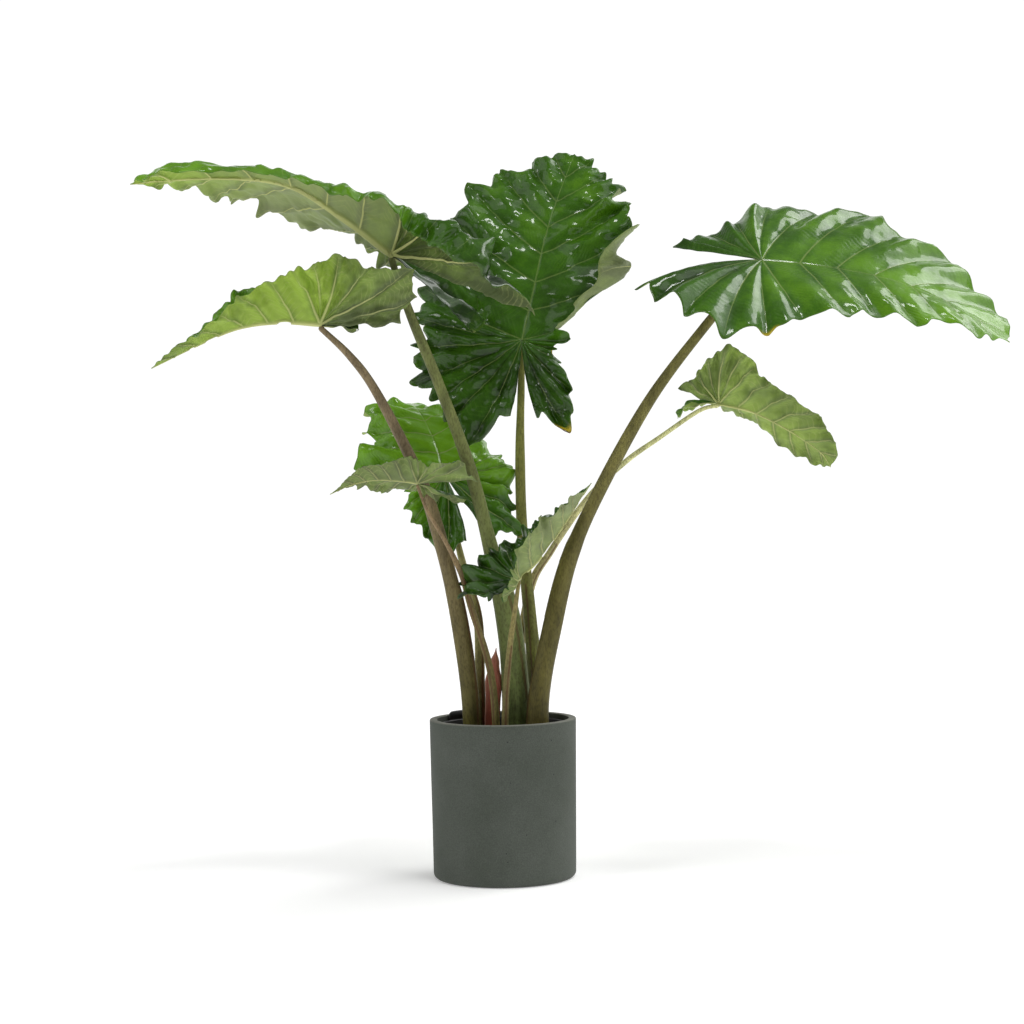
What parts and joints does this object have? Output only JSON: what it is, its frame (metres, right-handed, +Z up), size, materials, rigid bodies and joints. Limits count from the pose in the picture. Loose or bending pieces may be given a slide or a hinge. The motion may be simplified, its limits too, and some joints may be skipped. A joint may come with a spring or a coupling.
{
  "type": "potted upright elephant ear",
  "caption": "Large arrow-shaped waved leaves on long mottled stalks, rooted in soil in a black nursery pot inside a matte grey-green cylindrical planter.",
  "frame": {"origin": "centre of the planter's flat underside", "axes": "+Z up, the front of the plant faces -Y, its long right leaf points towards +X"},
  "size_m": [1.8232, 0.6853, 1.5689],
  "materials": {
    "planter": "matte fibre cement",
    "grow_pot": "satin black plastic",
    "soil": "loose potting mix",
    "bud_sheath": "dry papery sheath",
    "stem": "satin, mottled",
    "blade": "glossy above, matte and paler below"
  },
  "bodies": {
    "root": {"planter": "planter", "grow_pot": "grow_pot", "soil": "soil", "bud_sheath": "bud_sheath", "stem_right_high": "stem", "stem_left_high": "stem", "stem_left_middle": "stem", "stem_back_high": "stem", "stem_right_low": "stem", "stem_left_low_back": "stem", "stem_left_low_front": "stem", "stem_front_low": "stem", "blade_right_high": "blade", "blade_left_high": "blade", "blade_left_middle": "blade", "blade_back_high": "blade", "blade_right_low": "blade", "blade_left_low_back": "blade", "blade_left_low_front": "blade", "blade_front_low": "blade"}
  },
  "joints": []
}
